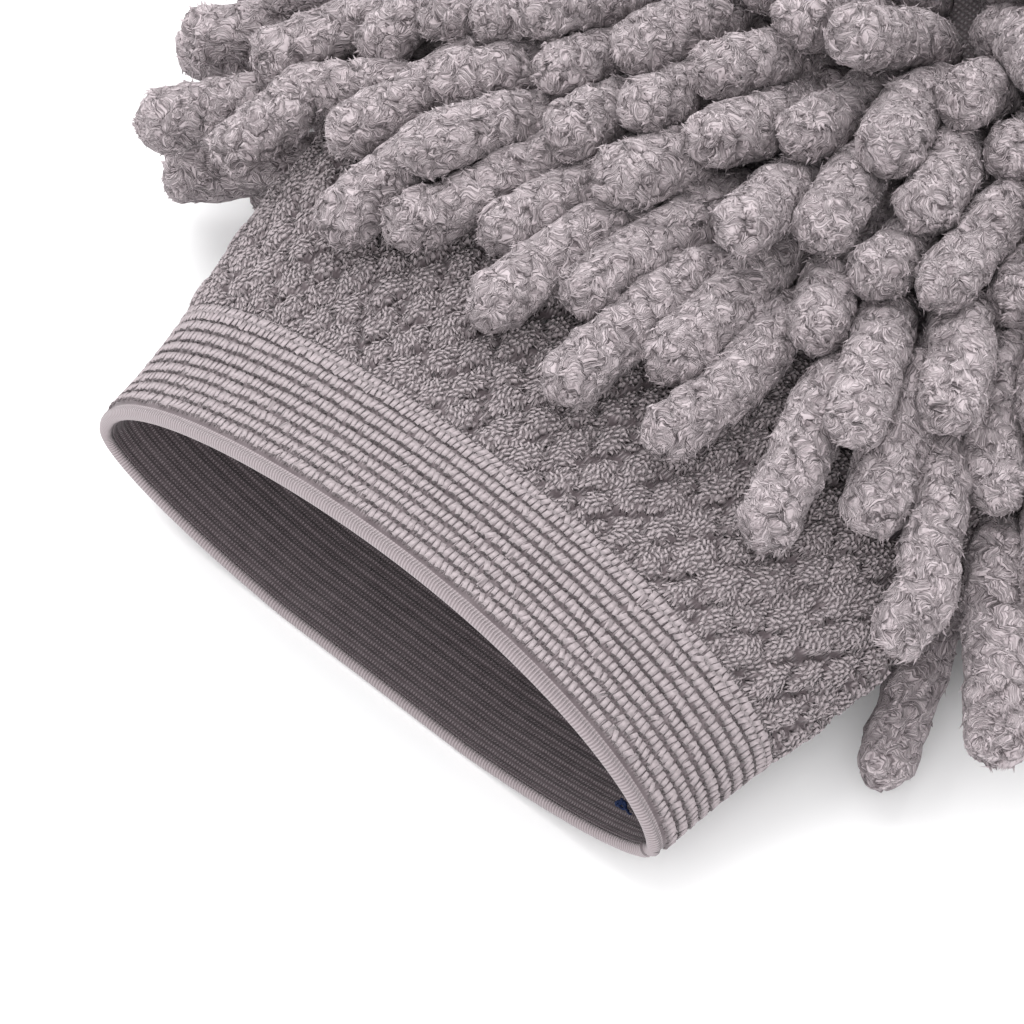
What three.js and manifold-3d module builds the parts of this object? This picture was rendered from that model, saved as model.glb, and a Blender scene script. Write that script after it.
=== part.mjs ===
// Chenille wash mitt: a hand pocket covered on both sides in chenille fingers, and a ribbed knit cuff.
// Millimetres. +Y runs from the mouth of the cuff to the fingertips, +X across the mouth, +Z up.
// Everything is laid out along the distance "run" from the rim of the cuff; the last lines move the
// whole group so that the origin is the centre of its base.

import * as THREE from 'three';
import { mergeVertices } from 'three/addons/utils/BufferGeometryUtils.js';
import Module from 'manifold-3d';

const wasm = await Module();
wasm.setup();

// Driving dimensions
const CUFF_RUN = 66;                // rim to the end of the cuff knit
const SEAM_START = 66.5;            // cuff-to-hand seam
const SEAM_END = 69.5;
const HAND_START = 70;              // first edge of the hand panels
const HAND_LENGTH = 185;
const HAND_HALF_WIDTH = 75;
const ROOT_HALF_WIDTH = 57;         // half width where the hand meets the cuff
const SHOULDER_RUN = 28;            // length over which the hand widens from the cuff
const TIP_ROUND_START = 165;        // where the rounding of the fingertip end begins
const LAST_RING = 0.985;            // the panels stop just short of the outline's very tip

const MOUTH_HALF_WIDTH = 48.5;
const MOUTH_CORNER_HEIGHT = 13;     // height of the two folds of the open mouth
const MOUTH_RISE = 25;              // top of the rim above the folds
const FLAT_RUN = 24;                // stretch of the cuff that lies on the floor
const ROOT_UNDERSIDE = 10;          // height of the underside where the cuff meets the hand
const SEAM_HEIGHT = 20;             // height of the hand's perimeter seam
const ROOT_RISE = 15;

const PANEL_ACROSS = 10;            // facets across and along each panel
const PANEL_ALONG = 9;
const BACK_CROWN = 16;              // outer surface above the perimeter seam, middle of the back
const PALM_CROWN = 8;
const EDGE_STACK = 5.2;             // half thickness of the layers at the perimeter
const GAP = 0.35;
const BACKING = 1.2;                // knitted ground cloth that the chenille is sewn through
const WADDING = 2.5;
const LINING = 0.7;

const KNIT_WALL = 1.7;              // outer layer of the cuff
const FACING_DEPTH = [3.0, 4.2];    // inner, turned-in layer of the cuff
const FACING_RUN = [2.3, 60];
const ELASTIC_DEPTH = [2.0, 2.7];
const ELASTIC_RUN = [3, 15];
const RIM_LIP = 1.9;                // thickness of the turned welt along the rim
const RIB_COUNT = 8;
const RIB_PITCH = 1.95;
const RIB_HEIGHT = 0.5;
const PANEL_WAVES = 3;              // broad rolls of the textured part of the cuff
const AROUND = 28;                  // facets round the cuff

const ROW_COUNT = 11;
const FIRST_ROW = 77;
const ROW_PITCH = 16.8;
const FINGER_PITCH = 15.5;
const FINGER_RADIUS = 4.3;
const FINGER_ROOT_RADIUS = 1.2;
const FINGER_NECK = 8;              // length over which a finger thickens from its root
const BACK_FINGER = 29;
const PALM_FINGER = 24;
const BACK_FINGER_SIDES = 5;
const PALM_FINGER_SIDES = 4;
const STRIP_WIDTH = 3;              // line of stitching that holds one row
const STRIP_HEIGHT = 1.6;
const STRIP_CLEARANCE = 0.7;
const EDGE_MARGIN = 3.5;            // from the perimeter to the outermost finger
const FRONT_LEAN = -50;             // degrees from upright, first row, towards the cuff
const TIP_LEAN = 58;                // last row, away from the cuff
const SIDE_LEAN = 62;               // outermost fingers of a row, outwards
const PALM_LEAN = 56;               // the fingers underneath lie flatter, under the weight
const FLOOR_CLEARANCE = 0.6;        // first two rows underneath, which the cuff carries along

const KNIT = 0x9b8b8c;
const CHENILLE = 0x85787a;
const GROUND = 0xa39798;
const FILL = 0xe4e1dc;
const TRICOT = 0xb3abac;
const RUBBER_WHITE = 0xdcd8d0;
const SEAM_THREAD = 0x5a5052;
const TACK_BLUE = 0x1d2a4a;

const clamp01 = (x) => Math.min(1, Math.max(0, x));
const lerp = (a, b, t) => a + (b - a) * t;
const smooth = (x) => {
  const t = clamp01(x);
  return t * t * (3 - 2 * t);
};
const radians = THREE.MathUtils.degToRad;

// ---- Outline and sections -------------------------------------------------------------------

// Half width of the hand's flat outline at a run: shoulders from the cuff, then a rounded end.
function outlineHalfWidth(run) {
  const shoulder = lerp(ROOT_HALF_WIDTH, HAND_HALF_WIDTH, smooth((run - HAND_START) / SHOULDER_RUN));
  return shoulder * Math.pow(Math.max(0, 1 - Math.pow(rounding(run), 2.2)), 1 / 2.2);
}

// Fraction of the crown left at a run: the hand is thickest in the middle and thins to the tip.
function outlineCrown(run) {
  return Math.pow(Math.max(0, 1 - Math.pow(rounding(run), 2.4)), 0.6);
}

// How far a run is into the rounded end: 0 before it and 1 at the very tip.
function rounding(run) {
  return clamp01((run - TIP_ROUND_START) / (HAND_START + HAND_LENGTH - TIP_ROUND_START));
}

// Runs of the panels' cross lines, closer together towards the tip.
const panelRuns = Array.from({ length: PANEL_ALONG + 1 }, (_, j) => {
  const part = 1 - Math.pow(1 - j / PANEL_ALONG, 1.35);
  return HAND_START + HAND_LENGTH * LAST_RING * part;
});

// A quantity of the outline at a run, straight from one cross line to the next as the panels are.
function alongPanel(quantity, run) {
  const last = PANEL_ALONG - 1;
  const found = panelRuns.findIndex((start) => start > run) - 1;
  const j = found < 0 ? (run < panelRuns[0] ? 0 : last) : Math.min(found, last);
  const part = (run - panelRuns[j]) / (panelRuns[j + 1] - panelRuns[j]);
  return lerp(quantity(panelRuns[j]), quantity(panelRuns[j + 1]), clamp01(part));
}

const handHalfWidth = (run) => alongPanel(outlineHalfWidth, run);
const crownAlong = (run) => alongPanel(outlineCrown, run);

// Height of the outer surface of the back (side 1) or palm (side -1) above the floor.
function panelHeight(x, run, side) {
  const across = clamp01(Math.abs(x) / Math.max(handHalfWidth(run), 1));
  const crown = side > 0 ? BACK_CROWN : PALM_CROWN;
  const swell = Math.pow(1 - across * across, 0.75) * crownAlong(run);
  return SEAM_HEIGHT + side * (EDGE_STACK + (crown - EDGE_STACK) * swell);
}

// A point of the cuff at a depth below its outer surface, round the angle t. The section is an oval with
// a flat base; each deeper layer is the same oval drawn smaller, so layers nest inside one another.
function cuffPoint(run, t, depth) {
  const flare = smooth(run / HAND_START);
  const half = lerp(MOUTH_HALF_WIDTH, ROOT_HALF_WIDTH, flare) - depth;
  const middle = lerp(MOUTH_CORNER_HEIGHT, SEAM_HEIGHT, flare);
  const rise = lerp(MOUTH_RISE, ROOT_RISE, flare) - depth;
  const base = ROOT_UNDERSIDE * smooth((run - FLAT_RUN) / (HAND_START - FLAT_RUN));
  const up = Math.sin(t);
  if (up >= 0) {
    return new THREE.Vector3(half * Math.cos(t), run, middle + rise * Math.pow(up, lerp(1.1, 0.62, flare)));
  }
  const drop = Math.min(1, 1.1 * Math.pow(-up, lerp(0.95, 0.8, flare)));
  const pressed = drop === 1 && run <= FLAT_RUN && depth <= RIB_HEIGHT;
  const height = pressed ? 0 : middle - (middle - base - depth) * drop;
  return new THREE.Vector3(half * Math.cos(t), run, height);
}

// ---- Closed solids --------------------------------------------------------------------------

function indexed(points, triangles) {
  const geometry = new THREE.BufferGeometry();
  const flat = points.flatMap((p) => [p.x, p.y, p.z]);
  geometry.setAttribute('position', new THREE.Float32BufferAttribute(flat, 3));
  geometry.setIndex(triangles);
  return geometry;
}

// A closed loop of corners swept through rings. A closed sweep is a ring, an open one is capped.
function sweep(rings, closed) {
  const corners = rings[0].length;
  const points = rings.flat();
  const triangles = [];
  const steps = closed ? rings.length : rings.length - 1;
  for (let i = 0; i < steps; i += 1) {
    const here = i * corners;
    const next = ((i + 1) % rings.length) * corners;
    for (let j = 0; j < corners; j += 1) {
      const k = (j + 1) % corners;
      triangles.push(here + j, next + j, next + k, here + j, next + k, here + k);
    }
  }
  if (!closed) {
    const last = (rings.length - 1) * corners;
    for (let j = 1; j < corners - 1; j += 1) {
      triangles.push(0, j, j + 1, last, last + j + 1, last + j);
    }
  }
  return outward(indexed(points, triangles));
}

// Turn a closed mesh so that its faces point out: its signed volume has to be positive.
function outward(geometry) {
  const p = geometry.getAttribute('position');
  const index = geometry.getIndex().array;
  const corner = [new THREE.Vector3(), new THREE.Vector3(), new THREE.Vector3()];
  let volume = 0;
  for (let i = 0; i < index.length; i += 3) {
    corner.forEach((c, k) => c.fromBufferAttribute(p, index[i + k]));
    volume += corner[0].dot(corner[1].clone().cross(corner[2]));
  }
  if (volume < 0) {
    const turned = Array.from(index);
    for (let i = 0; i < turned.length; i += 3) {
      [turned[i + 1], turned[i + 2]] = [turned[i + 2], turned[i + 1]];
    }
    geometry.setIndex(turned);
  }
  return geometry;
}

function toManifold(geometry) {
  const bare = geometry.clone();
  bare.deleteAttribute('normal');
  bare.deleteAttribute('uv');
  const merged = mergeVertices(bare, 1e-4);
  return new wasm.Manifold(new wasm.Mesh({
    numProp: 3,
    vertProperties: new Float32Array(merged.getAttribute('position').array),
    triVerts: new Uint32Array(merged.getIndex().array),
  }));
}

function join(geometries) {
  const whole = geometries.map(toManifold).reduce((a, b) => a.add(b));
  const mesh = whole.getMesh();
  const geometry = new THREE.BufferGeometry();
  geometry.setAttribute('position', new THREE.BufferAttribute(mesh.vertProperties, 3));
  geometry.setIndex(new THREE.BufferAttribute(mesh.triVerts, 1));
  return geometry;
}

const mitt = new THREE.Group();

function add(name, geometry, color, roughness = 0.95) {
  const shaded = geometry.index ? geometry.toNonIndexed() : geometry;
  shaded.computeVertexNormals();
  const material = new THREE.MeshStandardMaterial({ color, roughness, metalness: 0 });
  const mesh = new THREE.Mesh(shaded, material);
  mesh.name = name;
  mitt.add(mesh);
  return mesh;
}

// ---- Hand panels ----------------------------------------------------------------------------

// One layer of the hand between two depths below its outer surface.
function handLayer(side, top, bottom) {
  const surface = (depth) => panelRuns.map((run) => {
    const line = [];
    for (let i = 0; i <= PANEL_ACROSS; i += 1) {
      const x = handHalfWidth(run) * Math.sin((i / PANEL_ACROSS - 0.5) * Math.PI);
      line.push(new THREE.Vector3(x, run, panelHeight(x, run, side) - side * depth));
    }
    return line;
  });
  const outer = surface(top);
  const inner = surface(bottom);
  const rings = outer.map((line, j) => [...line, ...inner[j].slice().reverse()]);
  return sweepPanel(rings, PANEL_ACROSS + 1);
}

// Rings that each go over the outer surface and back under the inner one, with cell-by-cell caps. Both
// surfaces are split along the same diagonal, so that layers lying on each other stay parallel.
function sweepPanel(rings, wide) {
  const corners = rings[0].length;
  const points = rings.flat();
  const triangles = [];
  for (let i = 0; i < rings.length - 1; i += 1) {
    for (let j = 0; j < corners; j += 1) {
      const k = (j + 1) % corners;
      const here = i * corners;
      const next = here + corners;
      if (j < wide) {
        triangles.push(here + j, next + j, next + k, here + j, next + k, here + k);
      } else {
        triangles.push(here + j, next + j, here + k, next + j, next + k, here + k);
      }
    }
  }
  [0, (rings.length - 1) * corners].forEach((base, end) => {
    for (let j = 0; j < wide - 1; j += 1) {
      const under = corners - 1 - j;
      const a = base + j;
      const b = base + j + 1;
      const c = base + under - 1;
      const d = base + under;
      const faces = end === 0 ? [a, b, c, a, c, d] : [a, c, b, a, d, c];
      triangles.push(...faces);
    }
  });
  return outward(indexed(points, triangles));
}

const layers = [
  ['backing', 0, BACKING, GROUND],
  ['wadding', BACKING + GAP, BACKING + GAP + WADDING, FILL],
  ['lining', BACKING + WADDING + 2 * GAP, BACKING + WADDING + LINING + 2 * GAP, TRICOT],
];
for (const [side, word] of [[1, 'back'], [-1, 'palm']]) {
  for (const [layer, top, bottom, color] of layers) {
    add(`${word}_${layer}`, handLayer(side, top, bottom), color);
  }
}

// The overlocked edge that joins back and palm, from one shoulder round the tip to the other.
function perimeterSeam() {
  const inner = 0.5;
  const outer = 2.6;
  const half = EDGE_STACK - 0.6;
  const end = panelRuns[PANEL_ALONG];
  const path = panelRuns.map((run) => new THREE.Vector2(handHalfWidth(run), run));
  path.push(new THREE.Vector2(handHalfWidth(end) * 0.5, end));
  const other = path.slice().reverse().map((p) => new THREE.Vector2(-p.x, p.y));
  const line = [...path, ...other];
  const rings = line.map((p, i) => {
    const before = line[Math.max(0, i - 1)];
    const after = line[Math.min(line.length - 1, i + 1)];
    const way = after.clone().sub(before).normalize();
    const out = new THREE.Vector2(way.y, -way.x);
    const near = p.clone().addScaledVector(out, inner);
    const far = p.clone().addScaledVector(out, outer);
    return [
      new THREE.Vector3(near.x, near.y, SEAM_HEIGHT - half),
      new THREE.Vector3(far.x, far.y, SEAM_HEIGHT - half * 0.6),
      new THREE.Vector3(far.x, far.y, SEAM_HEIGHT + half * 0.6),
      new THREE.Vector3(near.x, near.y, SEAM_HEIGHT + half),
    ];
  });
  return sweep(rings, false);
}
add('perimeter_seam', perimeterSeam(), SEAM_THREAD);

// ---- Cuff -----------------------------------------------------------------------------------

// A ring whose section is a loop of [run, depth] corners.
function cuffRing(section) {
  const rings = [];
  for (let i = 0; i < AROUND; i += 1) {
    const t = (i / AROUND) * 2 * Math.PI;
    rings.push(section.map(([run, depth]) => cuffPoint(run, t, depth)));
  }
  return sweep(rings, true);
}

// Outer layer: a turned lip at the rim, ribs along the band, then the broad rolls of the panel.
function cuffKnitSection() {
  const section = [[0, 3.6], [0, 0.9], [0.9, RIB_HEIGHT]];
  const bandStart = 1.6;
  for (let i = 0; i < RIB_COUNT; i += 1) {
    section.push([bandStart + (i + 0.1) * RIB_PITCH, RIB_HEIGHT]);
    section.push([bandStart + (i + 0.55) * RIB_PITCH, 0]);
  }
  const panelStart = bandStart + RIB_COUNT * RIB_PITCH + 1.2;
  const roll = (CUFF_RUN - panelStart) / PANEL_WAVES;
  for (let i = 0; i < PANEL_WAVES; i += 1) {
    section.push([panelStart + i * roll, RIB_HEIGHT]);
    section.push([panelStart + (i + 0.5) * roll, 0]);
  }
  section.push([CUFF_RUN, RIB_HEIGHT], [CUFF_RUN, KNIT_WALL], [44, KNIT_WALL], [22, KNIT_WALL]);
  section.push([RIM_LIP, KNIT_WALL], [RIM_LIP, 4.2], [0.8, 4.3]);
  return section;
}
add('cuff_knit', cuffRing(cuffKnitSection()), KNIT);

function band([from, to], [outer, inner], pieces) {
  const along = Array.from({ length: pieces + 1 }, (_, i) => lerp(from, to, i / pieces));
  return [...along.map((run) => [run, outer]), ...along.reverse().map((run) => [run, inner])];
}
add('cuff_facing', cuffRing(band(FACING_RUN, FACING_DEPTH, 4)), KNIT);
add('cuff_elastic', cuffRing(band(ELASTIC_RUN, ELASTIC_DEPTH, 1)), RUBBER_WHITE, 0.8);
add('cuff_to_hand_seam', cuffRing(band([SEAM_START, SEAM_END], [0.2, 4.4], 1)), SEAM_THREAD);

// The seam that closes the cuff into a tube, a ridge inside the fold on the +X side.
function sideSeam() {
  const rings = [];
  for (const run of [RIM_LIP + 0.6, 14, 28, 42, 58]) {
    const wall = cuffPoint(run, 0, FACING_DEPTH[1] + GAP);
    const rise = wall.z;
    rings.push([
      new THREE.Vector3(wall.x - 0.9, run, rise - 1.2),
      new THREE.Vector3(wall.x - 0.9, run, rise + 1.2),
      new THREE.Vector3(wall.x - 3.2, run, rise + 0.7),
      new THREE.Vector3(wall.x - 3.2, run, rise - 0.7),
    ]);
  }
  return sweep(rings, false);
}
add('cuff_side_seam', sideSeam(), SEAM_THREAD);

// Bar tack of blue thread across the end of the side seam, just inside the rim.
function threadTack() {
  const wall = cuffPoint(RIM_LIP, 0, FACING_DEPTH[1] + GAP);
  const size = [1.9, 1.4, 0.8];
  const box = new THREE.BoxGeometry(...size);
  box.translate(wall.x - size[0] / 2 - 1.2, RIM_LIP + 1.6, wall.z + 1.2 + GAP + size[2] / 2);
  return box;
}
add('cuff_thread_tack', threadTack(), TACK_BLUE, 0.6);

// ---- Chenille -------------------------------------------------------------------------------

// The stitched strip that one row hangs from: a bar laid over the backing, following its crown.
function rowStrip(run, half, side) {
  const rings = [];
  for (let i = 0; i <= PANEL_ACROSS; i += 1) {
    const x = half * Math.sin((i / PANEL_ACROSS - 0.5) * Math.PI);
    const foot = (y) => panelHeight(x, y, side) + side * STRIP_CLEARANCE;
    const front = run - STRIP_WIDTH / 2;
    const rear = run + STRIP_WIDTH / 2;
    rings.push([
      new THREE.Vector3(x, front, foot(front)),
      new THREE.Vector3(x, rear, foot(rear)),
      new THREE.Vector3(x, rear, foot(rear) + side * STRIP_HEIGHT),
      new THREE.Vector3(x, front, foot(front) + side * STRIP_HEIGHT),
    ]);
  }
  return sweep(rings, false);
}

// One chenille finger: a thin root, a stout body and a rounded end, turned to lie along "way".
function finger(root, way, length, sides) {
  const profile = [
    [0, 0],
    [FINGER_ROOT_RADIUS, 0],
    [FINGER_RADIUS, FINGER_NECK],
    [FINGER_RADIUS, length - FINGER_RADIUS * 0.7],
    [0, length],
  ].map(([r, h]) => new THREE.Vector2(r, h));
  const shape = new THREE.LatheGeometry(profile, sides);
  const turn = new THREE.Quaternion().setFromUnitVectors(new THREE.Vector3(0, 1, 0), way);
  shape.applyQuaternion(turn);
  shape.translate(root.x, root.y, root.z);
  return shape;
}

// Direction of a finger: fore-and-aft lean changes from row to row, side lean grows to the edges.
function fingerWay(x, run, side, lean) {
  const sideways = radians(SIDE_LEAN) * (x / handHalfWidth(run));
  const way = new THREE.Vector3(Math.tan(sideways), Math.tan(radians(lean)), side);
  return way.normalize();
}

function chenilleRow(index, side) {
  const run = FIRST_ROW + index * ROW_PITCH;
  const half = handHalfWidth(run) - EDGE_MARGIN;
  const spaces = Math.floor((2 * half) / FINGER_PITCH);
  const count = Math.max(2, spaces + ((spaces + index) % 2 === 0 ? 1 : 0));
  const pitch = Math.min(FINGER_PITCH, (2 * half) / (count - 1));
  const part = index / (ROW_COUNT - 1);
  const palmLean = part < 0.62 ? -PALM_LEAN : PALM_LEAN;
  const lean = side > 0 ? lerp(FRONT_LEAN, TIP_LEAN, part) : palmLean;
  const lowest = index < 2 ? FLOOR_CLEARANCE : 0;
  const solids = [rowStrip(run, half + 2, side)];
  for (let i = 0; i < count; i += 1) {
    const x = (i - (count - 1) / 2) * pitch;
    const height = panelHeight(x, run, side) + side * (STRIP_CLEARANCE + STRIP_HEIGHT - 0.1);
    const root = new THREE.Vector3(x, run, height);
    const way = fingerWay(x, run, side, lean);
    let length = BACK_FINGER;
    if (side < 0) {
      length = Math.min(PALM_FINGER, (height - lowest) / -way.z);
    }
    solids.push(finger(root, way, length, side > 0 ? BACK_FINGER_SIDES : PALM_FINGER_SIDES));
  }
  const row = join(solids);
  return side < 0 ? trimBelow(row, lowest) : row;
}

// Flatten what would stand below a level: the fingers underneath are pressed flat by the floor.
function trimBelow(geometry, level) {
  const depth = 60;
  const block = new THREE.BoxGeometry(400, 600, depth);
  block.translate(0, 160, level - depth / 2);
  const mesh = toManifold(geometry).subtract(toManifold(block)).getMesh();
  const trimmed = new THREE.BufferGeometry();
  trimmed.setAttribute('position', new THREE.BufferAttribute(mesh.vertProperties, 3));
  trimmed.setIndex(new THREE.BufferAttribute(mesh.triVerts, 1));
  return trimmed;
}

for (const [side, word] of [[1, 'back'], [-1, 'palm']]) {
  for (let i = 0; i < ROW_COUNT; i += 1) {
    const number = String(i + 1).padStart(2, '0');
    add(`${word}_chenille_row_${number}`, chenilleRow(i, side), CHENILLE);
  }
}

// Origin at the centre of the base.
const box = new THREE.Box3().setFromObject(mitt);
const centre = box.getCenter(new THREE.Vector3());
mitt.position.set(-centre.x, -centre.y, -box.min.z);

export default mitt;
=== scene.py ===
"""Chenille wash mitt: fat tufted fingers on both faces of a hand pocket, and a ribbed knit cuff.

Shapes are worked out in millimetres as (x, run, z). "run" is the distance from the rim of the cuff
towards the fingertips; to_frame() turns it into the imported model's frame, in metres.
"""
import math

import bpy
import numpy as np
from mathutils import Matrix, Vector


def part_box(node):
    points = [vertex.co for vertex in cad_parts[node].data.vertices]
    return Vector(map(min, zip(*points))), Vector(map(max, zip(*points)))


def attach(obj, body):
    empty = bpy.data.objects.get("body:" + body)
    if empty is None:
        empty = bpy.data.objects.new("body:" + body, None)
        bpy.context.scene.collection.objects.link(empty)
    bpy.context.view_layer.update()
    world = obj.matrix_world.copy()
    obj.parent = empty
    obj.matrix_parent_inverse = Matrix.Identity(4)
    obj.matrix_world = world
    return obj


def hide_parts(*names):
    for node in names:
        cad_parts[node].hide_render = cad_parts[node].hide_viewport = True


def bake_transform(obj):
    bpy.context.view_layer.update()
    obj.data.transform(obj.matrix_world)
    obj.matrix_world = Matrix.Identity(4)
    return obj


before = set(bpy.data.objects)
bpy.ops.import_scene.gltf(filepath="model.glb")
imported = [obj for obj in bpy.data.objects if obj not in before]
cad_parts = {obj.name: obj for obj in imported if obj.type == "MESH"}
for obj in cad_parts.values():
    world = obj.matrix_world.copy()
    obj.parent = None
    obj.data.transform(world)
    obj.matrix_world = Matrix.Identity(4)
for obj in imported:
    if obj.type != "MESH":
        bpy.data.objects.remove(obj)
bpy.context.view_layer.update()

MM = 0.001


def box_mm(node):
    """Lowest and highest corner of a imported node, in millimetres."""
    low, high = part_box(node)
    return np.array(low) / MM, np.array(high) / MM


# ---- Measures taken from the frame

KNIT_LOW, KNIT_HIGH = box_mm("cuff_knit")
PANEL_LOW, PANEL_HIGH = box_mm("back_backing")
SEAM_LOW, SEAM_HIGH = box_mm("cuff_to_hand_seam")
RIM_Y = KNIT_LOW[1]
CUFF_RUN = KNIT_HIGH[1] - RIM_Y
HAND_START = PANEL_LOW[1] - RIM_Y
HAND_HALF = PANEL_HIGH[0]
SEAM_RUN = (SEAM_LOW[1] + SEAM_HIGH[1]) / 2 - RIM_Y
BACK_TOP = PANEL_HIGH[2]
PALM_BOTTOM = box_mm("palm_backing")[0][2]
ROWS = 11

# ---- Measures of the real thing, millimetres

HAND_LENGTH = 185.0
ROOT_HALF = 62.0  # half width of the hand where the cuff joins it
SHOULDER = 24.0
ROUNDING_START = 165.0
SEAM_HEIGHT = 20.0
EDGE_STACK = 1.9  # half thickness of the hand at its sewn edge
EDGE_PINCH = 0.36
PINCH_WIDTH = 9.0
FIRST_ROW = 77.0  # run of the first stitched row
ROW_PITCH = 16.8
FILE_SHIFT = -9.5  # from the first row to the first file of fingers

MOUTH_HALF = 51.0
MOUTH_FOLD = 13.0  # height of the folds at the two ends of the mouth
MOUTH_TOP = 38.0
FLARE_HALF = 57.4
FLARE_RUN = 50.0
HIP_START = 50.0
HIP_LENGTH = 20.0
BASE_START = 24.0  # the cuff's underside leaves the floor here
BASE_LENGTH = 46.0
WALES = 256
PANEL_WALES = 310
PANEL_COURSE = 0.74
GIRTH = 225.0
SEAM_SHARE = 0.986  # place of the side seam, as a share of the way round
LEAVES = 44  # leaves of the panel's pattern round the cuff
LEAF_RISE = 9.5
RIB_PITCH = 1.95
RIB_START = 2.2
RIBS = 8
BAND_END = RIB_START + RIBS * RIB_PITCH
WELT = 0.95
WALL = 0.9
FACING_RUN = 60.0

FINGER_RADIUS = 4.45
CONTACT_RADIUS = 4.5
FINGER_LINKS = 6
LINK = 6.1
ROOT_RISE = 1.8
BARE_GAP = 5.4
FRONT_FILES = 30.0  # length of the hand's front part, whose fingers are combed over the cuff
TIP_RUN = 250.0
DROP = 2.4  # slope of what fingers lie on past an edge
SETTLE_STEPS = 150
FALL = 0.34
OWN_WAY = 0.035  # how strongly a finger keeps its first direction
STIFFNESS = 0.35
PARTING = 0.42
BODY_SHARE = 0.74  # share of a finger's rings that lie along its axis, before the round end
FLOOR_CLEAR = 0.05
TUFT = 3.1
PETAL = 2.2


def fade(x):
    """Smooth step: 0 below 0, 1 above 1, with level ends."""
    t = np.clip(x, 0.0, 1.0)
    return t * t * (3.0 - 2.0 * t)


def mix(a, b, t):
    return a + (b - a) * t


def to_frame(points):
    """(x, run, z) in millimetres to the frame's metres."""
    moved = np.array(points, float)
    moved[..., 1] += RIM_Y
    return moved * MM


# ---- Meshes


def make_piece(name, points, faces, material, node=None, fields=None, flat_coords=None):
    """A mesh object from corner points and blocks of faces.

    faces is a list of integer arrays, one row per face; node is the CAD node that it replaces, if
    any; fields maps a name to one number or one triple per point; flat_coords is one (u, v) pair
    per point, written to every face corner.
    """
    mesh = bpy.data.meshes.new(name)
    points = to_frame(points).reshape(-1, 3)
    sizes = np.concatenate([np.full(len(block), block.shape[1]) for block in faces])
    corners = np.concatenate([block.ravel() for block in faces]).astype(np.int32)
    mesh.vertices.add(len(points))
    mesh.vertices.foreach_set("co", points.astype(np.float32).ravel())
    mesh.loops.add(len(corners))
    mesh.loops.foreach_set("vertex_index", corners)
    mesh.polygons.add(len(sizes))
    starts = np.concatenate([[0], np.cumsum(sizes)[:-1]]).astype(np.int32)
    mesh.polygons.foreach_set("loop_start", starts)
    mesh.polygons.foreach_set("use_smooth", np.ones(len(sizes), bool))
    for key, values in (fields or {}).items():
        values = np.asarray(values, np.float32)
        kind = "FLOAT_VECTOR" if values.ndim > 1 else "FLOAT"
        layer = mesh.attributes.new(key, kind, "POINT")
        layer.data.foreach_set("vector" if values.ndim > 1 else "value", values.ravel())
    if flat_coords is not None:
        layer = mesh.uv_layers.new(name="UVMap")
        layer.data.foreach_set("uv", np.asarray(flat_coords, np.float32)[corners].ravel())
    mesh.update(calc_edges=True)
    mesh.validate()
    mesh.materials.append(material)
    piece = bpy.data.objects.new(name, mesh)
    bpy.context.collection.objects.link(piece)
    if node:
        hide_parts(node)
    return piece


def grid_faces(rows, columns, wrap_rows=False, wrap_columns=False, first=0):
    """Four-sided faces of a grid of points counted row by row, wrapped round where asked."""
    i = np.arange(rows if wrap_rows else rows - 1)[:, None]
    j = np.arange(columns if wrap_columns else columns - 1)[None, :]
    i2 = (i + 1) % rows
    j2 = (j + 1) % columns
    quad = np.stack([i * columns + j, i * columns + j2, i2 * columns + j2, i2 * columns + j], -1)
    return quad.reshape(-1, 4) + first


def fan_faces(ring, centre, turned):
    """Triangles from the points of a closed ring to one centre point."""
    after = np.roll(ring, -1)
    middle = np.full(len(ring), centre)
    order = [after, ring, middle] if turned else [ring, after, middle]
    return np.stack(order, -1)


def repeat_faces(blocks, count, each):
    """The same faces for each of count shapes, which have each points apiece."""
    first = np.arange(count)[:, None, None] * each
    return [(block[None] + first).reshape(-1, block.shape[1]) for block in blocks]


def face_outwards(points, faces):
    """Turn every face over if the signed volume of the closed shape is negative."""
    volume = 0.0
    for block in faces:
        a, b, c = points[block[:, 0]], points[block[:, 1]], points[block[:, 2]]
        volume += np.einsum("ij,ij->i", a, np.cross(b, c)).sum()
        if block.shape[1] == 4:
            d = points[block[:, 3]]
            volume += np.einsum("ij,ij->i", a, np.cross(c, d)).sum()
    return [block[:, ::-1] for block in faces] if volume < 0 else faces


# ---- Random fields


def scatter(cell, salt):
    """Three repeatable numbers from 0 to 1 for each lattice cell: fractions of a large sine."""
    seed = cell @ np.array([127.1, 311.7, 74.7]) + salt * 53.3
    return np.stack([np.mod(np.sin(seed + 17.3 * k) * 43758.5453, 1.0) for k in range(3)], -1)


def tuft_cells(points, size, salt):
    """Cell noise: for each point the nearest and second nearest of the random centres, one centre in
    each lattice cell; gives both distances, the way from the nearest centre and its random triple."""
    scaled = points / size
    low = np.floor(scaled - 0.5)
    nearest = np.full(len(points), 9.0)
    second = np.full(len(points), 9.0)
    away = np.zeros_like(points)
    owner = np.zeros_like(points)
    for corner in np.ndindex(2, 2, 2):
        cell = low + np.array(corner)
        offset = scaled - cell - 0.5 - 0.75 * (scatter(cell, salt) - 0.5)
        distance = np.sqrt((offset ** 2).sum(-1))
        closer = distance < nearest
        second = np.where(closer, nearest, np.minimum(second, distance))
        nearest = np.where(closer, distance, nearest)
        away[closer] = offset[closer]
        owner[closer] = cell[closer]
    return nearest * size, second * size, away * size, scatter(owner, salt + 7.0)


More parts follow.
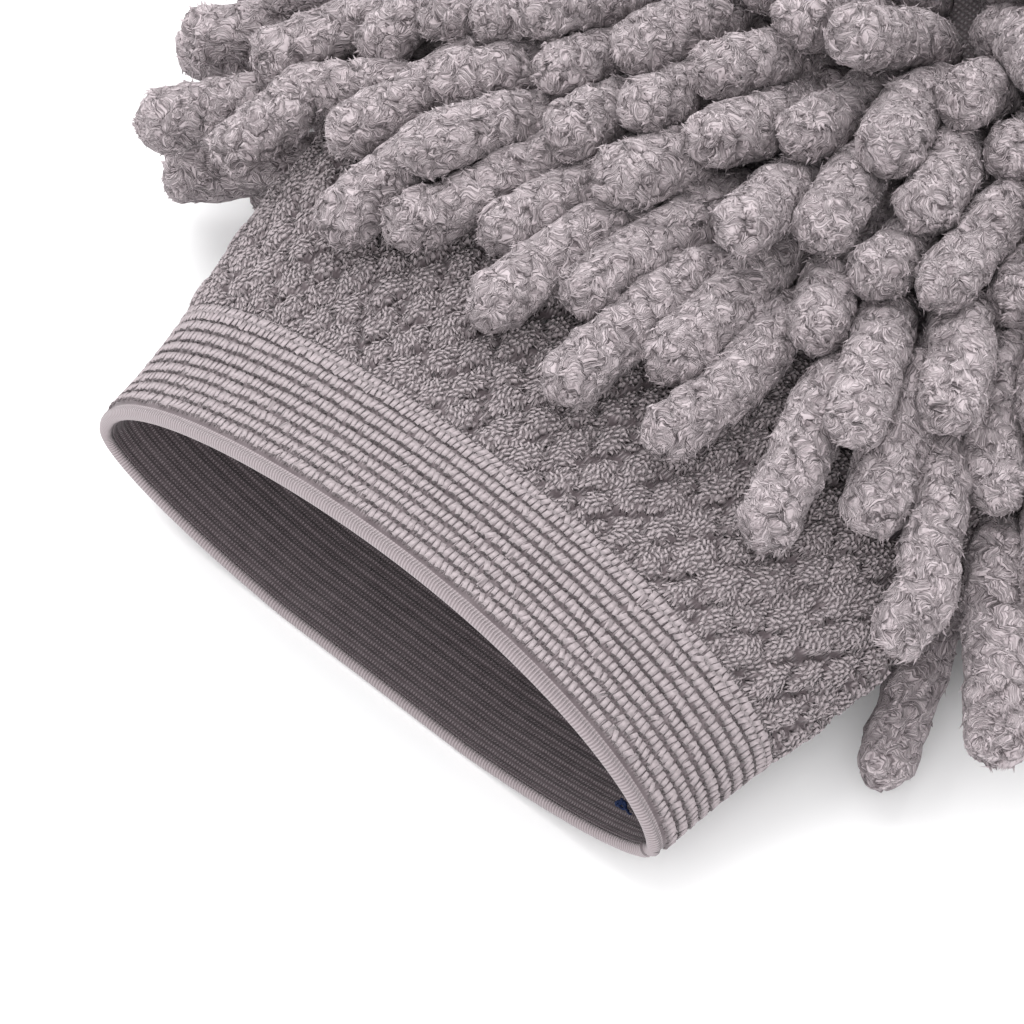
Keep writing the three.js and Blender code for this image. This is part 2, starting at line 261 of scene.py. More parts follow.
def swell_noise(points, wavelength, salt):
    """Slow noise from -1 to 1: the mean of three products of sines in turned directions."""
    p = points * (2 * math.pi / wavelength)
    x, y, z = p[..., 0], p[..., 1], p[..., 2]
    first = np.sin(x + 1.3 * salt) * np.sin(y * 1.1 + 0.7 * salt) * np.sin(z * 0.9 + 2.1 * salt)
    second = np.sin(0.8 * x - 0.6 * y + salt) * np.sin(0.6 * x + 0.8 * y + 1.7 * z + 0.3 * salt)
    third = np.sin(0.7 * z - 0.7 * x + 2.9 * salt) * np.sin(0.5 * y + 0.9 * z + 1.1 * salt)
    return (first + second + third) / 1.8


def unit(v):
    return v / np.maximum(np.linalg.norm(v, axis=-1, keepdims=True), 1e-9)


# ---- Materials


class Nodes:
    """A material's node tree, with short calls to add a node, set it and wire it."""

    def __init__(self, name):
        self.material = bpy.data.materials.new(name)
        self.material.use_nodes = True
        self.tree = self.material.node_tree
        self.tree.nodes.clear()
        self.shader = self.add("ShaderNodeBsdfPrincipled")
        output = self.add("ShaderNodeOutputMaterial")
        self.wire(self.shader.outputs["BSDF"], output.inputs["Surface"])

    def add(self, kind, **settings):
        node = self.tree.nodes.new(kind)
        for key, value in settings.items():
            setattr(node, key, value)
        return node

    def wire(self, source, target):
        self.tree.links.new(source, target)

    def set(self, **values):
        for key, value in values.items():
            self.shader.inputs[key.replace("_", " ")].default_value = value

    def field(self, name, output="Fac"):
        return self.add("ShaderNodeAttribute", attribute_name=name).outputs[output]

    def place(self):
        return self.add("ShaderNodeTexCoord").outputs["Object"]

    def flat(self):
        return self.add("ShaderNodeUVMap", uv_map="UVMap").outputs["UV"]

    def stretch(self, source, scale):
        node = self.add("ShaderNodeMapping")
        node.inputs["Scale"].default_value = scale
        self.wire(source, node.inputs["Vector"])
        return node.outputs["Vector"]

    def noise(self, source, scale, detail=2.0, rough=0.5, output="Fac"):
        node = self.add("ShaderNodeTexNoise")
        node.inputs["Scale"].default_value = scale
        node.inputs["Detail"].default_value = detail
        node.inputs["Roughness"].default_value = rough
        self.wire(source, node.inputs["Vector"])
        return node.outputs[output]

    def math(self, operation, a, b=None, clamp=False):
        node = self.add("ShaderNodeMath", operation=operation, use_clamp=clamp)
        for socket, value in zip(node.inputs, (a, b)):
            if isinstance(value, (int, float)):
                socket.default_value = value
            elif value is not None:
                self.wire(value, socket)
        return node.outputs[0]

    def plus(self, a, b, clamp=False):
        return self.math("ADD", a, b, clamp)

    def minus(self, a, b):
        return self.math("SUBTRACT", a, b)

    def times(self, a, b, clamp=False):
        return self.math("MULTIPLY", a, b, clamp)

    def vector(self, operation, *parts):
        node = self.add("ShaderNodeVectorMath", operation=operation)
        for socket, value in zip(node.inputs, parts):
            if isinstance(value, tuple):
                socket.default_value = value
            else:
                self.wire(value, socket)
        return node.outputs["Value" if operation == "DOT_PRODUCT" else "Vector"]

    def dot(self, a, b):
        return self.vector("DOT_PRODUCT", a, b)

    def ramp(self, source, stops):
        node = self.add("ShaderNodeValToRGB")
        elements = node.color_ramp.elements
        while len(elements) < len(stops):
            elements.new(0.5)
        for element, (position, color) in zip(elements, stops):
            element.position = position
            element.color = (*color, 1.0)
        self.wire(source, node.inputs["Fac"])
        return node.outputs["Color"]

    def color(self, source):
        self.wire(source, self.shader.inputs["Base Color"])

    def bump(self, height, distance, strength=1.0, after=None):
        node = self.add("ShaderNodeBump")
        node.inputs["Distance"].default_value = distance
        node.inputs["Strength"].default_value = strength
        self.wire(height, node.inputs["Height"])
        if after is not None:
            self.wire(after, node.inputs["Normal"])
        return node.outputs["Normal"]

    def normal(self, source):
        self.wire(source, self.shader.inputs["Normal"])


# The darkest chenille colour is painted shade, reached in the creases between tufts and under their
# tucks.
CHENILLE_CREASE_SHADE = (0.062, 0.048, 0.052)
CHENILLE_MID = (0.372, 0.319, 0.335)
CHENILLE_LIGHT = (0.46, 0.404, 0.42)
KNIT_DEEP = (0.31, 0.265, 0.278)
KNIT_MID = (0.365, 0.317, 0.33)
KNIT_LIGHT = (0.37, 0.323, 0.336)


def chenille_material():
    """Microfibre tufts. Small petals are cells of the skin's own coordinates; each has a lie of its own,
    rises along it, carries fine lines of fibre along it and gets painted shade where it dives under the
    next petal. The mesh carries painted shading too: lighter on the tops of the tufts, darker in the
    creases between them and near the root."""
    n = Nodes("chenille")
    skin = n.field("skin", "Vector")
    facing = n.field("facing", "Vector")
    cell = n.add("ShaderNodeTexVoronoi", feature="F1")
    edge = n.add("ShaderNodeTexVoronoi", feature="DISTANCE_TO_EDGE")
    bent = n.noise(skin, 0.55, 1.0, output="Color")
    shifted = n.vector("MULTIPLY_ADD", bent, (1.6, 1.6, 1.6), skin)
    for node in (cell, edge):
        node.inputs["Scale"].default_value = 1.0 / PETAL
        n.wire(shifted, node.inputs["Vector"])
    away = n.vector("SUBTRACT", shifted, cell.outputs["Position"])
    lie = n.vector("ADD", cell.outputs["Color"], (-0.5, -0.5, -0.2))
    across = n.vector("NORMALIZE", n.vector("CROSS_PRODUCT", lie, facing))
    along = n.vector("CROSS_PRODUCT", facing, across)
    u = n.dot(away, across)
    v = n.dot(away, along)
    own = n.dot(cell.outputs["Color"], (7.0, 11.0, 13.0))
    strand = n.add("ShaderNodeCombineXYZ")
    n.wire(n.times(u, 3.4), strand.inputs["X"])
    n.wire(n.times(v, 0.36), strand.inputs["Y"])
    n.wire(own, strand.inputs["Z"])
    wavy = n.noise(strand.outputs[0], 1.0, 2.0, 0.55)
    furrow = n.times(n.math("ABSOLUTE", n.minus(wavy, 0.5)), 8.5, True)
    rim = n.times(edge.outputs["Distance"], 4.5, True)
    rise = n.plus(n.times(v, 0.42), 0.5, True)
    # Painted shade where a petal dives under the next one.
    painted_tuck_shade = n.times(n.minus(1.0, rim), n.minus(1.0, rise))
    patch = n.noise(n.place(), 300.0, 3.0)
    # Painted shading carried by the mesh: light on tuft tops, dark in creases and near the root.
    painted_tuft_shading = n.field("painted_tuft_shading")
    tone = n.plus(n.times(painted_tuft_shading, 0.3), n.times(patch, 0.32))
    tone = n.plus(tone, n.plus(n.times(furrow, 0.44), 0.09))
    tone = n.minus(tone, n.times(painted_tuck_shade, 0.46))
    stops = [(0.05, CHENILLE_CREASE_SHADE), (0.5, CHENILLE_MID), (0.95, CHENILLE_LIGHT)]
    n.color(n.ramp(tone, stops))
    petal = n.plus(rise, n.times(rim, 0.25))
    lines = n.bump(furrow, 0.00026, 1.0)
    n.normal(n.bump(petal, 0.00045, 0.7, lines))
    n.set(Roughness=0.95, Sheen_Weight=0.22, Sheen_Roughness=0.6, Sheen_Tint=(0.95, 0.9, 0.92, 1.0),
          Specular_IOR_Level=0.1)
    return n.material


def stitch_material(name, deep, middle, light):
    """Yarn of one knit loop: strands along the loop, a tone of its own for each loop, and painted shade
    where the loop sits low in a groove.
    """
    n = Nodes(name)
    strands = n.noise(n.stretch(n.field("fibre", "Vector"), (5.5, 0.8, 1.0)), 1.0, 2.0)
    # The shade field is partly a random tone of each loop and partly painted shade in the grooves.
    own = n.field("shade")
    tone = n.plus(n.times(strands, 0.5), n.times(own, 0.55))
    n.color(n.ramp(tone, [(0.12, deep), (0.5, middle), (0.9, light)]))
    n.normal(n.bump(strands, 0.0002, 0.8))
    n.set(Roughness=0.85, Sheen_Weight=0.08, Sheen_Roughness=0.5, Specular_IOR_Level=0.1)
    return n.material


def cloth_material(name, deep, light, across, along, depth, pale_edge=0.0, side_seam=False):
    """Fine knit cloth on flat coordinates in millimetres: wales crossed by courses, given as counts per
    millimetre. Where pale_edge is given, painted shade darkens the cloth where its relief sinks into
    grooves, and nearer the rim than pale_edge the cloth is paler and its courses vanish. A side seam
    shows as a dark line."""
    n = Nodes(name)
    flat = n.flat()
    bands = []
    for direction, count in (("X", across), ("Y", along)):
        wave = n.add("ShaderNodeTexWave", wave_type="BANDS", bands_direction=direction)
        wave.inputs["Scale"].default_value = count * math.pi / 10
        wave.inputs["Distortion"].default_value = 0.8
        wave.inputs["Detail Scale"].default_value = 2.0
        n.wire(flat, wave.inputs["Vector"])
        bands.append(wave.outputs["Fac"])
    weave = n.times(*bands)
    tone = n.plus(weave, n.times(n.noise(n.place(), 350.0, 3.0), 0.35))
    split = n.add("ShaderNodeSeparateXYZ")
    n.wire(flat, split.inputs[0])
    if pale_edge:
        edge = n.math("LESS_THAN", split.outputs["Y"], pale_edge)
        pale = n.plus(n.times(bands[0], 0.45), 0.36)
        # Painted shade: the cloth is darkened where its relief sinks into grooves.
        tone = n.times(tone, n.field("painted_groove_shade"))
        keep = n.times(tone, n.minus(1.0, edge))
        tone = n.plus(keep, n.times(pale, edge))
    if side_seam:
        apart = n.math("ABSOLUTE", n.minus(split.outputs["X"], SEAM_SHARE * GIRTH))
        tone = n.times(tone, n.plus(n.times(apart, 1.6), -0.2, True))
    n.color(n.ramp(tone, [(0.1, deep), (0.95, light)]))
    n.normal(n.bump(weave, depth, 0.9))
    n.set(Roughness=0.9, Sheen_Weight=0.2, Sheen_Roughness=0.5, Specular_IOR_Level=0.2)
    return n.material


def felt_material():
    """Felted wadding: matted fibres in two sizes of noise."""
    n = Nodes("wadding")
    mat = n.noise(n.stretch(n.place(), (900.0, 1500.0, 900.0)), 1.0, 4.0, 0.7)
    n.color(n.ramp(mat, [(0.3, (0.6, 0.58, 0.55)), (0.7, (0.83, 0.81, 0.78))]))
    n.normal(n.bump(mat, 0.0006, 0.8))
    n.set(Roughness=1.0)
    return n.material


def thread_material(name, dark, light):
    """Sewing thread: two plies seen as slanted lines on the thread's own coordinates."""
    n = Nodes(name)
    ply = n.noise(n.stretch(n.field("fibre", "Vector"), (6.0, 2.5, 1.0)), 1.0, 2.0)
    n.color(n.ramp(ply, [(0.3, dark), (0.7, light)]))
    n.normal(n.bump(ply, 0.0002, 0.8))
    n.set(Roughness=0.75, Specular_IOR_Level=0.15)
    return n.material


CHENILLE = chenille_material()
STITCH = stitch_material("cuff_stitches", KNIT_DEEP, KNIT_MID, KNIT_LIGHT)
CUFF_CLOTH = cloth_material("cuff_cloth", (0.1, 0.08, 0.086), (0.4, 0.345, 0.36), 2.2, 0.5,
                            0.0003, 1.75, True)
# The facing's colours are darkened well below the outer knit: painted shade for the inside of the mouth.
FACING_CLOTH_PAINTED_SHADE = cloth_material("facing_cloth_painted_shade", (0.055, 0.042, 0.047), (0.2, 0.165, 0.177), 2.3, 1.4,
                              0.0002, 0.0, True)
GROUND_CLOTH = cloth_material("ground_cloth", (0.16, 0.133, 0.14), (0.42, 0.37, 0.385), 1.5, 1.1, 0.0003)
LINING_CLOTH = cloth_material("lining_cloth", (0.2, 0.17, 0.18), (0.42, 0.38, 0.39), 1.6, 1.3, 0.0002)
ELASTIC_TAPE = cloth_material("elastic_tape", (0.5, 0.48, 0.44), (0.78, 0.76, 0.72), 1.0, 1.6, 0.0003)
FELT = felt_material()
SEAM_THREAD = thread_material("seam_thread", (0.1, 0.082, 0.088), (0.34, 0.29, 0.305))
BLUE_THREAD = thread_material("blue_thread", (0.003, 0.006, 0.02), (0.009, 0.02, 0.07))


# ---- Outline of the hand and section of the cuff


def rounding(run):
    """0 before the rounded end of the hand, 1 at its very tip."""
    end = HAND_START + HAND_LENGTH
    return np.clip((run - ROUNDING_START) / (end - ROUNDING_START), 0.0, 1.0)


def hand_half(run):
    """Half width of the hand: shoulders that widen from the cuff, then a rounded end."""
    shoulder = mix(ROOT_HALF, HAND_HALF, fade((run - HAND_START) / SHOULDER))
    return shoulder * (1.0 - rounding(run) ** 2.2) ** (1 / 2.2)


def panel_height(x, run, side):
    """Height of the outer face of the back (1) or palm (-1): a low crown that dies to the seam."""
    across = np.clip(np.abs(x) / np.maximum(hand_half(run), 1.0), 0.0, 1.0)
    crown = BACK_TOP - SEAM_HEIGHT if side > 0 else SEAM_HEIGHT - PALM_BOTTOM
    swell = (1.0 - across ** 2) ** 0.75 * (1.0 - rounding(run) ** 2.4) ** 0.6
    return SEAM_HEIGHT + side * (EDGE_STACK + (crown - EDGE_STACK) * swell)


def pinch(x, run):
    """How far the seam squeezes the layers: fully at the edge of the hand, not at all inside."""
    inset = np.minimum(hand_half(run) - np.abs(x), 2.0 * (HAND_START + HAND_LENGTH - run))
    return mix(EDGE_PINCH, 1.0, fade(inset / PINCH_WIDTH))


def cuff_outline(run):
    """At a run: share of the way to the hand, half width, height of the side folds, top and base.
    The cuff flares from the mouth, spreads a little more at the hip, and its base leaves the floor."""
    along = fade(run / HAND_START)
    hip = (ROOT_HALF - FLARE_HALF) * fade((run - HIP_START) / HIP_LENGTH)
    half = mix(MOUTH_HALF, FLARE_HALF, fade(run / FLARE_RUN)) + hip
    middle = mix(MOUTH_FOLD, SEAM_HEIGHT, along)
    top = mix(MOUTH_TOP, BACK_TOP - 1.0, along)
    base = (PALM_BOTTOM - 2.0) * fade((run - BASE_START) / BASE_LENGTH)
    return along, half, middle, top, base


def cuff_section(run, t):
    """Cuff wall at a run, round the angle t: an oval with a flatter base. The top of the mouth
    leans a little to +x."""
    along, half, middle, top, base = cuff_outline(run)
    sine = np.sin(t)
    cosine = np.cos(t)
    upper = np.abs(sine) ** mix(1.12, 0.66, along)
    lower = np.minimum(1.0, 1.06 * np.abs(sine) ** mix(1.0, 0.8, along))
    skew = 1.0 + 0.1 * cosine * (1.0 - along) * np.abs(sine)
    z = np.where(sine >= 0, middle + (top - middle) * upper * skew, middle - (middle - base) * lower)
    return half * cosine, z


def even_angles():
    """Table of the angle t against the share of the way round, at even lengths of wall."""
    t = np.linspace(0.0, 2 * math.pi, 4001)
    x, z = cuff_section(np.full_like(t, 22.0), t)
    steps = np.hypot(np.diff(x), np.diff(z))
    share = np.concatenate([[0.0], np.cumsum(steps)])
    return share / share[-1], t


SHARE_TABLE, ANGLE_TABLE = even_angles()


def rib_wave(run):
    """1 on the crest of a rib, 0 between two ribs."""
    return 0.5 - 0.5 * np.cos(2 * math.pi * (run - RIB_START) / RIB_PITCH)


def knit_relief(share, run):
    """Height of the knit over the cuff's wall: eight round ribs, a plain double course, then a panel
    of long leaves parted by stepped grooves that fade in and out, each leaf slightly crowned."""
    ribs = 0.46 * rib_wave(run) ** 0.3
    in_band = fade((run - RIB_START + 0.3) / 0.5) * (1.0 - fade((run - BAND_END) / 0.5))
    plain = 0.36 * np.sin(math.pi * np.clip((run - BAND_END - 0.3) / 3.0, 0.0, 1.0)) ** 0.5
    around = share * GIRTH
    flat = np.stack([np.cos(share * 2 * math.pi) * 36, np.sin(share * 2 * math.pi) * 36, run], -1)
    wander = swell_noise(flat, 21.0, 3.0)
    stepped = run + 0.42 * np.sin(2 * math.pi * run / 2.6) + 1.4 * wander
    lines = [np.abs(np.mod(LEAVES * share + way * stepped / LEAF_RISE, 1.0) - 0.5) * 2.0
             for way in (1.0, -1.0)]
    strong = np.clip(0.55 + 0.75 * swell_noise(flat, 13.0, 5.0), 0.1, 1.0)
    groove = np.maximum(fade((lines[0] - 0.64) / 0.3), 0.8 * fade((lines[1] - 0.68) / 0.28))
    crown = (1.0 - lines[0] ** 2) * (1.0 - lines[1] ** 2)
    panel = 0.24 + 0.62 * crown - 0.95 * groove * strong
    in_panel = fade((run - BAND_END - 3.0) / 1.2)
    seam = np.exp(-((around - SEAM_SHARE * GIRTH) / 0.55) ** 2)
    height = mix(ribs * in_band + plain * (1.0 - in_panel), panel, in_panel)
    return height * (1.0 - 0.8 * seam) - 0.45 * seam * (1.0 - in_panel)


def cuff_wall(share, run, lift):
    """Point of the knit's outer face at a share of the way round and a run, raised by lift."""
    t = np.interp(np.mod(share, 1.0), SHARE_TABLE, ANGLE_TABLE)
    step = 0.004
    x, z = cuff_section(run, t)
    x2, z2 = cuff_section(run, t + step)
    x1, z1 = cuff_section(run, t - step)
    out = unit(np.stack([z2 - z1, -(x2 - x1)], -1))
    z = z + out[..., 1] * lift
    return np.stack([x + out[..., 0] * lift, run, np.maximum(z, 0.15)], -1)


# ---- Cuff


def cuff_tube(name, share, run, lift, material, node, fields=None):
    """A closed loop of runs, each raised by its lift, carried round the cuff."""
    grid_share, grid_run = np.meshgrid(share, run, indexing="xy")
    points = cuff_wall(grid_share, grid_run, lift).reshape(-1, 3)
    faces = face_outwards(points, [grid_faces(len(run), len(share), True, True)])
    flat = np.stack([grid_share * GIRTH, grid_run], -1).reshape(-1, 2)
    return make_piece(name, points, faces, material, node, fields, flat)


def cuff_knit():
    """Outer knit: rolled welt, outer face with relief, plain inner wall. The welt is a half circle
    of the wall's thickness about the rim."""
    around = 448
    share = np.linspace(0.0, 1.0, around, endpoint=False)
    roll = np.linspace(-0.5 * math.pi, 0.5 * math.pi, 9)[::-1]
    face_run = np.linspace(WELT + 0.3, CUFF_RUN, 128)
    inner_run = np.linspace(CUFF_RUN, WELT + 0.7, 14)
    inside = np.full(len(inner_run), -WALL)
    run = np.concatenate([face_run, inner_run, WELT - WELT * np.cos(roll[::-1])])
    lift = np.concatenate([0.0 * face_run, inside, -WELT - 0.1 + (WELT + 0.1) * np.sin(roll[::-1])])
    lift = np.repeat(lift[:, None], around, 1)
    face = slice(0, len(face_run))
    welt = slice(len(run) - len(roll), len(run))
    relief = knit_relief(*np.meshgrid(share, run, indexing="xy"))
    lift[face] = relief[face] - 0.25
    # Painted shade multiplier for the cloth: darker where the knit's relief is low.
    painted_groove_shade = {"painted_groove_shade": np.clip((relief + 0.75) / 0.9, 0.12, 1.0).ravel()}
    lift[welt] -= 0.7 * np.exp(-((share - SEAM_SHARE) * GIRTH / 0.5) ** 2)
    return cuff_tube("cuff_knit_cloth", share, run, lift, CUFF_CLOTH, "cuff_knit", painted_groove_shade)


def stitches(name, share, run, turn, size, sink, edges, seed):
    """Knit loops as small rounded grains on the knit's face. Each grain is two many-sided rings and
    two poles, drawn flat as (along, across, height), turned, and then laid on the relief so that it
    bends over ribs and into grooves."""
    rng = np.random.default_rng(seed)
    count = len(share)
    angle = np.arange(edges) * 2 * math.pi / edges + math.pi / 2
    ring = np.stack([np.cos(angle), np.sin(angle)], -1)
    each = 2 * edges + 2
    scale = 1.0 + 0.1 * rng.standard_normal((count, 1, 1)).clip(-1.6, 1.6)
    local = np.concatenate([
        [[-0.5, 0.0, -0.1]],
        np.column_stack([np.full(edges, -0.34), 0.47 * ring]),
        np.column_stack([np.full(edges, 0.34), 0.47 * ring]),
        [[0.5, 0.0, -0.1]],
    ]) * np.array(size)
    local = local[None] * scale
    cosine = np.cos(turn)[:, None]
    sine = np.sin(turn)[:, None]
    forward = local[..., 0] * cosine - local[..., 1] * sine
    around = local[..., 0] * sine + local[..., 1] * cosine
    share = share[:, None] + around / GIRTH
    run = run[:, None] + forward
    relief = knit_relief(share, run)
    points = cuff_wall(share, run, relief - sink + local[..., 2]).reshape(-1, 3)
    quads = grid_faces(2, edges, False, True, 1)
    fans = np.concatenate([
        fan_faces(np.arange(edges) + 1, 0, False),
        fan_faces(np.arange(edges) + 1 + edges, each - 1, True),
    ])
    faces = face_outwards(points, repeat_faces([quads, fans], count, each))
    own = np.repeat(rng.random((count, 1)), each, 1)
    fibre = np.stack([local[..., 1], local[..., 0], own * 50], -1)
    # The shade field mixes a random tone of each loop with painted shade that darkens loops sitting low,
    # in grooves and between ribs.
    shade = 0.25 * own + 0.75 * np.clip((relief + 0.1) / 0.75, 0.0, 1.0)
    fields = {"fibre": fibre.reshape(-1, 3), "shade": shade.ravel()}
    return make_piece(name, points, faces, STITCH, None, fields)


def band_stitches():
    """Loops along the crest of each rib, and two courses of the plain double row."""
    rng = np.random.default_rng(11)
    wale = (np.arange(WALES) + 0.5) / WALES
    courses = [(0.35 * (rib % 2), RIB_START + (rib + 0.5) * RIB_PITCH, 3.0) for rib in range(RIBS)]
    courses += [(0.0, BAND_END + 0.9, -8.0), (0.5, BAND_END + 2.1, -8.0)]
    share = np.concatenate([wale + shift / WALES for shift, _, _ in courses])
    run = np.repeat([height for _, height, _ in courses], WALES)
    turn = np.repeat([math.radians(slant) for _, _, slant in courses], WALES)
    share = share + rng.normal(0, 0.00025, len(share))
    run = run + rng.normal(0, 0.07, len(run))
    turn = turn + rng.normal(0, 0.2, len(turn))
    return stitches("cuff_band_stitches", share, run, turn, (2.0, 0.8, 0.28), 0.05, 6, 12)


def panel_stitches(name, low, high, seed):
    """Loops of the textured panel: brick-laid courses whose slant swings from place to place. The
    bottoms of the grooves have none."""
    rng = np.random.default_rng(seed)
    courses = np.arange(BAND_END + 3.6, CUFF_RUN - 0.4, PANEL_COURSE)
    wale = np.arange(PANEL_WALES) + 0.5
    share = (wale[None] + 0.5 * (np.arange(len(courses)) % 2)[:, None]) / PANEL_WALES
    run = np.repeat(courses[:, None], PANEL_WALES, 1)
    share = np.mod(share + rng.normal(0, 0.0005, share.shape), 1.0).ravel()
    run = (run + rng.normal(0, 0.14, run.shape)).ravel()
    keep = (share >= low) & (share < high)
    keep &= knit_relief(share, run) > -0.22
    share, run = share[keep], run[keep]
    swing = np.sin(share * 188.0 + run * 0.55) + 0.8 * np.sin(share * 77.0 - run * 0.9 + 1.0)
    turn = 0.5 * swing + rng.normal(0, 0.38, len(share))
    return stitches(name, share, run, turn, (1.12, 0.6, 0.3), 0.05, 3, seed + 1)


def cuff_facing():
    """Turned-in layer: a thin tube with ribs on its inner face, running the same way as outside. Its
    cloth is coloured dark: painted shade for the inside of the mouth.
    """
    around = 288
    share = np.linspace(0.0, 1.0, around, endpoint=False)
    inner_run = np.linspace(1.2, FACING_RUN, 116)
    outer_run = np.linspace(FACING_RUN, 1.2, 8)
    run = np.concatenate([inner_run, outer_run])
    lift = np.concatenate([-1.8 - 0.38 * rib_wave(inner_run) ** 0.6, np.full(len(outer_run), -1.4)])
    lift = np.repeat(lift[:, None], around, 1)
    lift[:len(inner_run)] += 0.5 * np.exp(-((share - SEAM_SHARE) * GIRTH / 0.6) ** 2)
    return cuff_tube("cuff_facing_cloth", share, run, lift, FACING_CLOTH_PAINTED_SHADE, "cuff_facing")


def cuff_elastic():
    """Elastic tape inside the hem: a thin band round the cuff between the two layers."""
    share = np.linspace(0.0, 1.0, 160, endpoint=False)
    run = np.array([3.2, 6.0, 9.0, 12.0, 14.8, 14.8, 12.0, 9.0, 6.0, 3.2])
    lift = np.repeat(np.array([-1.0] * 5 + [-1.3] * 5)[:, None], len(share), 1)
    return cuff_tube("cuff_elastic_tape", share, run, lift, ELASTIC_TAPE, "cuff_elastic")


def wrapped_ridge(name, node, path, up, size, closed, material, wraps):
    """Overlocked edge: an oval carried along a path, swollen by threads that wrap it at a slant.
    The threads are a wave in the sum of the distance along the path and the angle round it."""
    sides = 14
    ahead = np.roll(path, -1, 0) - path if closed else np.gradient(path, axis=0)
    if closed:
        ahead = ahead + path - np.roll(path, 1, 0)
    ahead = unit(ahead)
    across = unit(np.cross(ahead, up))
    lift = np.cross(across, ahead)
    length = np.concatenate([[0.0], np.cumsum(np.linalg.norm(np.diff(path, axis=0), axis=1))])
    if closed:
        total = length[-1] + np.linalg.norm(path[0] - path[-1])
        wraps = round(total / wraps)
    else:
        total = length[-1]
        wraps = total / wraps
    angle = np.arange(sides) * 2 * math.pi / sides
    phase = 2 * math.pi * wraps * (length / total)[:, None] + angle[None]
    swell = 1.0 + 0.16 * np.sin(phase)
    taper = np.ones(len(path))
    if not closed:
        taper = np.clip(np.minimum(length, total - length) / 0.8, 0.0, 1.0) ** 0.5
    swell = swell * taper[:, None] + 1e-3
    points = (path[:, None] + across[:, None] * (size[0] * np.cos(angle)[None] * swell)[..., None]
              + lift[:, None] * (size[1] * np.sin(angle)[None] * swell)[..., None]).reshape(-1, 3)
    faces = [grid_faces(len(path), sides, closed, True)]
    if not closed:
        last = (len(path) - 1) * sides
        points = np.concatenate([points, path[:1], path[-1:]])
        faces.append(fan_faces(np.arange(sides), len(points) - 2, True))
        faces.append(fan_faces(np.arange(last, last + sides), len(points) - 1, False))
    faces = face_outwards(points, faces)
    fibre = np.zeros((len(points), 3))
    fibre[:phase.size, 0] = (phase / (2 * math.pi)).ravel()
    fibre[:phase.size, 1] = np.repeat(length, sides) * 0.4
    return make_piece(name, points, faces, material, node, {"fibre": fibre})


def cuff_to_hand_seam():
    """Overlocked ring where the cuff is sewn to the hand."""
    share = np.linspace(0.0, 1.0, 640, endpoint=False)
    path = cuff_wall(share, np.full(len(share), SEAM_RUN), -1.9)
    return wrapped_ridge("cuff_joining_seam", "cuff_to_hand_seam", path, (0.0, 1.0, 0.0),
                         (2.0, 1.3), True, SEAM_THREAD, 1.3)


def cuff_side_seam():
    """Overlocked ridge inside the fold, from the rim to the hand."""
    run = np.linspace(2.6, 58.0, 260)
    path = cuff_wall(np.full(len(run), SEAM_SHARE), run, -2.9)
    return wrapped_ridge("cuff_side_seam_ridge", "cuff_side_seam", path, (1.0, 0.0, 0.0),
                         (1.1, 0.9), False, SEAM_THREAD, 1.2)


def thread_tack():
    """Leftover end of blue sewing thread: a small tangled knot and a tail, as one closed-ended cord
    whose path is a sum of circular waves that opens out into the tail."""
    turn = np.linspace(0.0, 1.0, 150)
    wave = 2 * math.pi * turn
    knot = 1.0 - fade((turn - 0.72) / 0.2)
    tail = fade((turn - 0.68) / 0.32)
    path = np.array([43.1, 2.3, 14.3]) + np.stack([
        knot * (0.5 * np.cos(2 * wave) - 0.25 * np.cos(5 * wave)) + 2.2 * tail,
        0.3 * np.sin(3 * wave) - 0.3 * tail,
        knot * (0.4 * np.sin(3 * wave) + 0.2 * np.sin(7 * wave)) + 0.35 * tail,
    ], -1)
    return wrapped_ridge("blue_thread_tack", "cuff_thread_tack", path, (0.2, 1.0, 0.1),
                         (0.2, 0.2), False, BLUE_THREAD, 0.9)


# ---- Hand


def hand_layer(name, side, top, bottom, material, node, recess):
    """One layer of the hand: the outer face lowered by two depths, joined round its edge; it starts
    a recess behind the cuff. Cross lines bunch towards the tip and the edges, so that the rounded
    end stays round."""
    across, along = 44, 50
    part = 1.0 - (1.0 - np.linspace(0.0, 1.0, along)) ** 1.35
    run = HAND_START + recess + (HAND_LENGTH * 0.985 - recess) * part
    share = np.sin((np.linspace(0.0, 1.0, across) - 0.5) * math.pi)
    grid_run, grid_share = np.meshgrid(run, share, indexing="ij")
    x = grid_share * hand_half(grid_run) * 0.995
    height = panel_height(x, grid_run, side)
    squeeze = pinch(x, grid_run) * side
    faces_at = [np.stack([x, grid_run, height - squeeze * depth], -1) for depth in (top, bottom)]
    loop = np.concatenate([faces_at[0], faces_at[1][:, ::-1]], 1)
    points = loop.reshape(-1, 3)
    wide = 2 * across
    j = np.arange(across - 1)
    cap = np.stack([j, j + 1, wide - 2 - j, wide - 1 - j], -1)
    faces = [grid_faces(along, wide, False, True), cap[:, ::-1], cap + (along - 1) * wide]
    faces = face_outwards(points, faces)
    return make_piece(name, points, faces, material, node, None, points[:, :2])


def perimeter_seam():
    """Overlocked edge round the hand, from one shoulder past the tip to the other."""
    run = HAND_START + 1.0 + (HAND_LENGTH - 3.5) * np.sin(np.linspace(0.0, 0.5, 260) * math.pi)
    right = np.stack([hand_half(run) + 0.9, run, np.full(len(run), SEAM_HEIGHT)], -1)
    left = right[::-1] * np.array([-1.0, 1.0, 1.0])
    turn = np.linspace(1.0, -1.0, 60)[1:-1, None]
    tip = right[-1] * np.array([1.0, 0.0, 0.0]) * turn + np.array([0.0, 1.0, 0.0]) * (
        right[-1, 1] + 1.2 * (1.0 - turn ** 2)) + np.array([0.0, 0.0, SEAM_HEIGHT])
    path = np.concatenate([right, tip, left])
    return wrapped_ridge("perimeter_seam_overlock", "perimeter_seam", path, (0.0, 0.0, 1.0),
                         (1.5, 2.1), False, SEAM_THREAD, 1.6)


# ---- Chenille fingers


